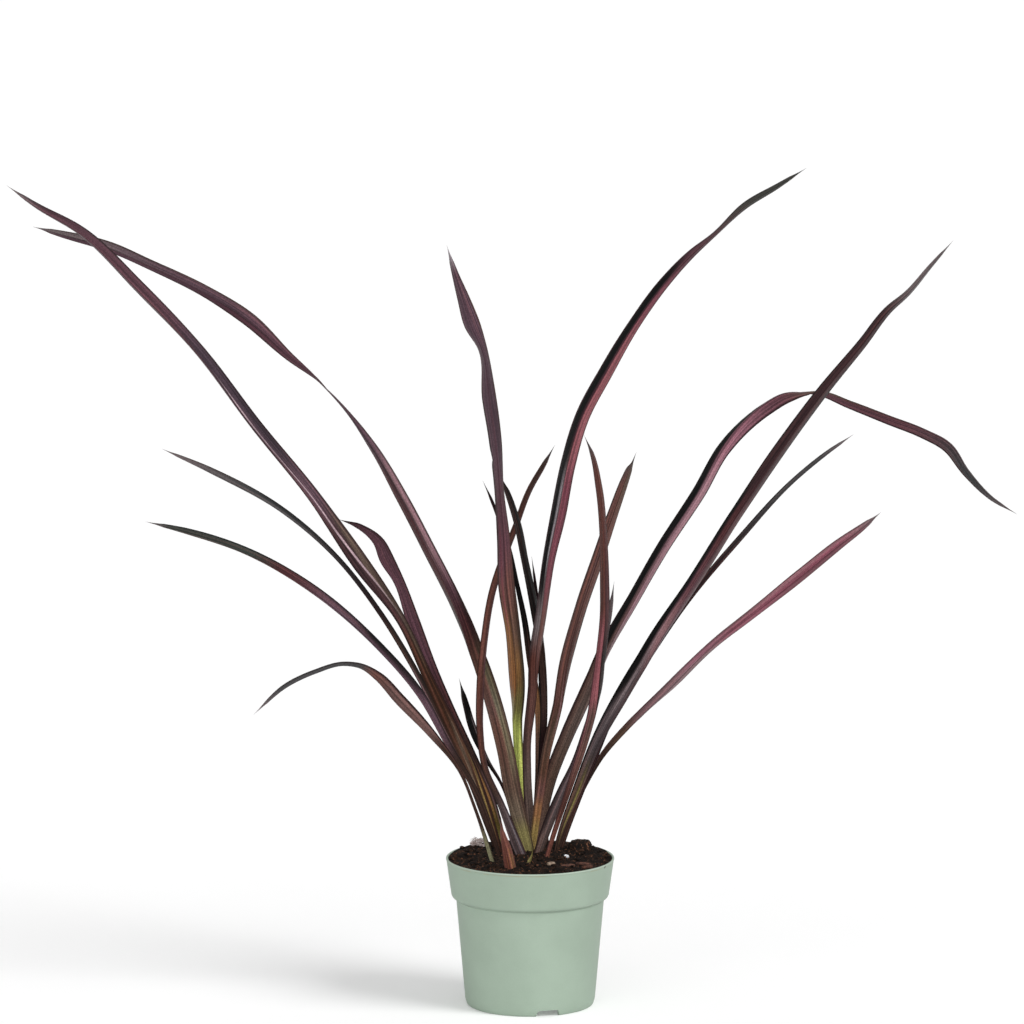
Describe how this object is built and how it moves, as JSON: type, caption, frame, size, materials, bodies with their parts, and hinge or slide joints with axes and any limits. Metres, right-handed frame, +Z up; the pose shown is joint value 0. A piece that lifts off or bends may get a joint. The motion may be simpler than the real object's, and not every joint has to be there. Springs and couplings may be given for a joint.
{
  "type": "potted new zealand flax plant",
  "caption": "Young New Zealand flax with folded, strap-like dark pink and bronze leaves, in a round soft-green plastic nursery pot filled with soil.",
  "frame": {"origin": "middle of the flat disc under the pot, which is its lowest face", "axes": "+X to the right and -Y towards the viewer in the reference picture, +Z up along the pot's axis"},
  "size_m": [0.722, 0.284, 0.617],
  "materials": {
    "pot": "matte moulded polypropylene, soft grey-green, faint moulding marks",
    "soil": "damp crumbly peat and bark compost, almost black, very rough",
    "leaf_bronze": "satin leathery leaf, bronze and brown with fine lengthwise veins",
    "leaf_dark": "satin leathery leaf, dark purple-grey with fine lengthwise veins",
    "leaf_pink": "satin leathery leaf, rose pink and bronze in lengthwise stripes",
    "dry_leaf": "dry papery leaf base, red-brown with a frayed tan end",
    "green_sheath": "satin, olive green young leaf sheath",
    "dry_root": "dry pale fibrous root bits, rough",
    "perlite": "white, rough, porous grain",
    "bark": "split red-brown and beige bark chip, rough"
  },
  "bodies": {
    "root": {"pot": "pot", "soil": "soil", "leaf_left_tall": "leaf_bronze", "leaf_left_high": "leaf_pink", "leaf_left_arched": "leaf_bronze", "leaf_left_thin": "leaf_dark", "leaf_left_low": "leaf_dark", "leaf_left_bent": "leaf_bronze", "leaf_centre_curved": "leaf_bronze", "leaf_left_spear": "leaf_dark", "leaf_centre_tall": "leaf_bronze", "leaf_centre_dark": "leaf_dark", "leaf_centre_thin": "leaf_dark", "leaf_centre_spear": "leaf_dark", "leaf_right_high": "leaf_pink", "leaf_right_red": "leaf_pink", "leaf_right_grey": "leaf_dark", "leaf_right_split": "leaf_bronze", "leaf_right_bent": "leaf_pink", "leaf_right_tall": "leaf_bronze", "leaf_right_thin": "leaf_dark", "leaf_right_pink": "leaf_pink", "old_leaf_stub": "dry_leaf", "green_sheath": "green_sheath", "soil_clod_right": "soil", "soil_clod_front": "soil", "root_tuft": "dry_root", "perlite_grain": "perlite", "pale_chip": "bark", "bark_chip_left": "bark", "bark_chip_middle": "bark", "bark_chip_right": "bark"}
  },
  "joints": []
}
